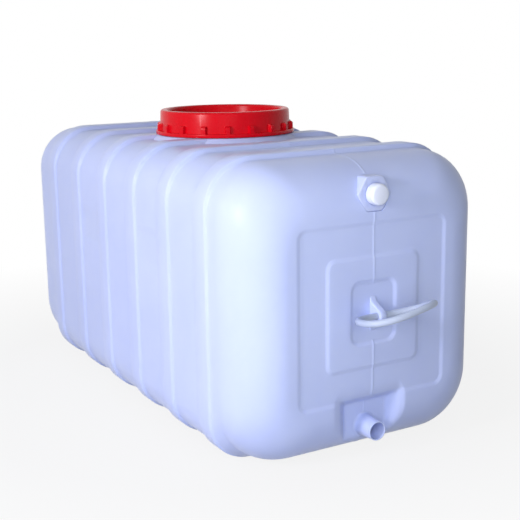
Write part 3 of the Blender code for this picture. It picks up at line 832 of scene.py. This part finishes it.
def build_vent(plastic, rubber):
    """The threaded nipple with its hexagonal flange, and the washer and nut that hold it."""
    flange_end = FLANGE_X + FLANGE_THICKNESS
    rim_end = flange_end + FLANGE_RIM_RISE
    bore, stem = VENT_BORE_RADIUS + VENT_ROUND, VENT_THREAD_RADIUS
    profile = arc(bore, VENT_TAIL_X + VENT_ROUND, VENT_ROUND, 270, 180)
    profile += arc(bore, VENT_TIP_X - VENT_ROUND, VENT_ROUND, 180, 90)
    profile += arc(stem - VENT_ROUND, VENT_TIP_X - VENT_ROUND, VENT_ROUND, 90, 0)
    profile += [(stem, x) for x in np.arange(VENT_TIP_X - 2 * VENT_ROUND, flange_end, -VENT_THREAD_STEP)]
    profile += [(FLANGE_RIM_START, flange_end), (FLANGE_RIM_END, rim_end)]
    profile += arc(FLANGE_FLATS / 2 - FLANGE_ROUND, rim_end - FLANGE_ROUND, FLANGE_ROUND, 90, 0)
    back = SEAT_X + SEAT_GAP / 2
    profile += [(FLANGE_FLATS / 2, back), (SKIRT_INSIDE, back), (SKIRT_INSIDE, FLANGE_X), (stem, FLANGE_X)]
    tail_end = VENT_TAIL_X + VENT_ROUND
    profile += [(stem, x) for x in np.arange(FLANGE_X - VENT_ROUND, tail_end, -VENT_THREAD_STEP)]
    profile.append((stem - VENT_ROUND, VENT_TAIL_X))
    flange = hexagonal(FLANGE_FLATS)

    def screwed(radius, height, angles):
        return flange(threaded(radius, height, angles), height, angles)

    nipple = turned_x("vent_nipple", profile, evenly(HEX_FACETS), VENT_Z, plastic, True, screwed)
    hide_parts("vent_fitting")
    low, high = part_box("vent_washer")
    profile = rounded_ring(VENT_HOLE_RADIUS, WASHER_RADIUS, low.x, high.x, SEAL_ROUND)
    washer = turned_x("vent_seal_ring", profile, evenly(CAP_FACETS), VENT_Z, rubber, True)
    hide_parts("vent_washer")
    low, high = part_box("vent_lock_nut")
    profile = rounded_ring(VENT_HOLE_RADIUS, NUT_FLATS / 2, low.x, high.x, NUT_ROUND)
    nut = turned_x("vent_nut", profile, evenly(HEX_FACETS), VENT_Z, plastic, True, hexagonal(NUT_FLATS))
    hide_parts("vent_lock_nut")
    return nipple, washer, nut


def build_cap(plastic):
    """The plain cap, with a rounded and slightly domed end."""
    start, end = (corner.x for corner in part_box("vent_cap"))
    seal_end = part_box("vent_cap_seal")[1].x
    profile = [(VENT_HOLE_RADIUS, seal_end + CAP_SEAL_GAP), (VENT_HOLE_RADIUS, start + CAP_LEAD)]
    profile.append((VENT_HOLE_RADIUS + CAP_LEAD, start))
    profile += arc(CAP_RADIUS - CAP_RIM, start + CAP_RIM, CAP_RIM, -90, 0)
    edge = end - CAP_DOME - CAP_ROUND
    profile += arc(CAP_RADIUS - CAP_ROUND, edge, CAP_ROUND, 0, CAP_ROUND_TURN, CAP_ROUND_STEPS)
    flat, shoulder = profile[-1]
    profile += [(flat * share, end - (end - shoulder) * share * share) for share in CAP_END_SHARES]
    cap = turned_x("vent_cap_moulding", profile, evenly(CAP_FACETS), VENT_Z, plastic)
    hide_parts("vent_cap")
    return cap


def build_cap_seal(foam):
    low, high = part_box("vent_cap_seal")
    profile = arc(VENT_THREAD_RADIUS - SEAL_ROUND, low.x + SEAL_ROUND, SEAL_ROUND, -90, 0)
    profile += arc(VENT_THREAD_RADIUS - SEAL_ROUND, high.x - SEAL_ROUND, SEAL_ROUND, 0, 90)
    seal = turned_x("vent_cap_disc", profile, evenly(SMALL_FACETS), VENT_Z, foam)
    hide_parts("vent_cap_seal")
    return seal


def ride_all(body, slot, *pieces):
    """Puts pieces on a body. The slot argument, the material slot that they stand for, is not used."""
    for piece in pieces:
        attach(piece, body)


def add_camera():
    data = bpy.data.cameras.new("camera")
    data.lens = CAMERA_LENS
    data.sensor_width = CAMERA_SENSOR
    camera = bpy.data.objects.new("camera", data)
    camera.location = CAMERA_PLACE
    aim = (CAMERA_AIM - CAMERA_PLACE).to_track_quat("-Z", "Y")
    camera.rotation_euler = (aim @ Quaternion((0, 0, 1), CAMERA_ROLL)).to_euler()
    bpy.context.scene.collection.objects.link(camera)
    bpy.context.scene.camera = camera


def add_light(name, place, size, power):
    data = bpy.data.lights.new(name, "AREA")
    data.size = size
    data.energy = power
    light = bpy.data.objects.new(name, data)
    light.location = place
    light.rotation_euler = (Vector(LIGHT_AIM) - Vector(place)).to_track_quat("-Z", "Y").to_euler()
    bpy.context.scene.collection.objects.link(light)
    return light


def seen_by_eye(owner):
    """1 where the eye sees a thing, also reflected or through glass, and 0 where it only lights others."""
    rays = add_node(owner, "ShaderNodeLightPath")
    seen = rays.outputs["Is Camera Ray"]
    for ray in ("Is Glossy Ray", "Is Transmission Ray"):
        either = add_node(owner, "ShaderNodeMath", operation="MAXIMUM")
        link(owner, seen, either.inputs[0])
        link(owner, rays.outputs[ray], either.inputs[1])
        seen = either.outputs["Value"]
    return seen


def add_world():
    """White to the eye and in reflections, and a weaker soft light on surfaces."""
    world = bpy.data.worlds.new("studio")
    world.use_nodes = True
    bpy.context.scene.world = world
    background = world.node_tree.nodes["Background"]
    background.inputs["Color"].default_value = (1, 1, 1, 1)
    direction = add_node(world, "ShaderNodeVectorMath", operation="DOT_PRODUCT")
    link(world, add_node(world, "ShaderNodeTexCoord").outputs["Generated"], direction.inputs[0])
    direction.inputs[1].default_value = AMBIENT_FROM
    soft = mapped(world, direction.outputs["Value"], *AMBIENT_RANGE, -1.0, 1.0)
    strength = add_node(world, "ShaderNodeMix")
    link(world, seen_by_eye(world), strength.inputs["Factor"])
    link(world, soft, strength.inputs["A"])
    strength.inputs["B"].default_value = 1.0
    link(world, strength.outputs["Result"], background.inputs["Strength"])


def add_floor():
    """A pale floor that keeps the shadow near the tank, and goes over into the white background."""
    material = bpy.data.materials.new("pale_floor")
    material.use_nodes = True
    nodes = material.node_tree.nodes
    shader = nodes["Principled BSDF"]
    shader.inputs["Base Color"].default_value = (*FLOOR_COLOUR, 1)
    shader.inputs["Roughness"].default_value = FLOOR_ROUGHNESS
    place = add_node(material, "ShaderNodeTexCoord")
    distance = add_node(material, "ShaderNodeVectorMath", operation="LENGTH")
    link(material, place.outputs["Object"], distance.inputs[0])
    glow = mapped(material, distance.outputs["Value"], FLOOR_GLOW, 1.0, *FLOOR_CLEAR)
    share = add_node(material, "ShaderNodeMath", operation="MULTIPLY")
    link(material, seen_by_eye(material), share.inputs[0])
    link(material, glow, share.inputs[1])
    white = add_node(material, "ShaderNodeEmission")
    mix = add_node(material, "ShaderNodeMixShader")
    link(material, share.outputs["Value"], mix.inputs[0])
    link(material, shader.outputs["BSDF"], mix.inputs[1])
    link(material, white.outputs["Emission"], mix.inputs[2])
    link(material, mix.outputs["Shader"], nodes["Material Output"].inputs["Surface"])
    half = FLOOR_SIZE / 2
    square = ((-half, -half), (half, -half), (half, half), (-half, half))
    corners = [(x, y, FLOOR_Z) for x, y in square]
    add_mesh("floor", corners, [(0, 1, 2, 3)], material)


bpy.context.scene.view_settings.view_transform = "Standard"

polyethylene = moulded_plastic(
    "natural_polyethylene", (0.56, 0.645, 1.0), (0.525, 0.61, 0.97),
    roughness=0.34, waves=0.25, peel=0.10, specular=0.17, milky=0.4)
red = moulded_plastic(
    "red_polypropylene", (0.69, 0.001, 0.011), (0.62, 0.001, 0.008),
    roughness=0.25, peel=0.06, specular=0.14)
white = moulded_plastic(
    "white_polypropylene", (0.77, 0.83, 1.0), (0.74, 0.80, 0.98),
    roughness=0.30, peel=0.08, specular=0.4)
pale = moulded_plastic(
    "pale_handle_plastic", (0.47, 0.54, 0.715), (0.43, 0.50, 0.67),
    roughness=0.38, peel=0.12, specular=0.3)
# A darker, bluer copy of the white fitting plastic, for the nipple and its nut: painted shade on the flange
# that sits behind the cap.
shaded_fitting_plastic = moulded_plastic(
    "fitting_plastic_painted_shade", (0.55, 0.625, 0.92), (0.52, 0.595, 0.89),
    roughness=0.36, peel=0.08, specular=0.3)
rubber = moulded_plastic(
    "black_rubber", (0.022, 0.022, 0.024), (0.014, 0.014, 0.015),
    roughness=0.62, peel=0.2, specular=0.3)
foam = moulded_plastic(
    "grey_foam", (0.46, 0.46, 0.48), (0.38, 0.38, 0.40),
    roughness=0.85, peel=0.4, specular=0.2)

ride_all("tank", "shell", build_skin(polyethylene), *build_neck(polyethylene), build_spigot(polyethylene))
for end in ("front", "rear"):
    hinge = Vector(JOINTS[f"{end}_handle_swing"]["pos_m"])
    ride_all("tank", "shell", build_lug(f"{end}_lug", hinge, polyethylene))
    ride_all(f"{end}_handle", "handle", build_ring(f"{end}_ring", hinge, f"{end}_handle", pale))
ride_all("lid", "lid", *build_lid(red))
ride_all("lid_gasket", "rubber", build_gasket(rubber))
nipple, washer, nut = build_vent(shaded_fitting_plastic, rubber)
ride_all("tank", "fitting", nipple, nut)
ride_all("tank", "rubber", washer)
ride_all("vent_cap", "fitting", build_cap(white))
ride_all("vent_cap_seal", "foam", build_cap_seal(foam))

add_camera()
add_light("key", KEY_PLACE, KEY_SIZE, KEY_POWER).data.color = KEY_TINT
add_light("fill", FILL_PLACE, FILL_SIZE, FILL_POWER).visible_glossy = False
add_world()
add_floor()
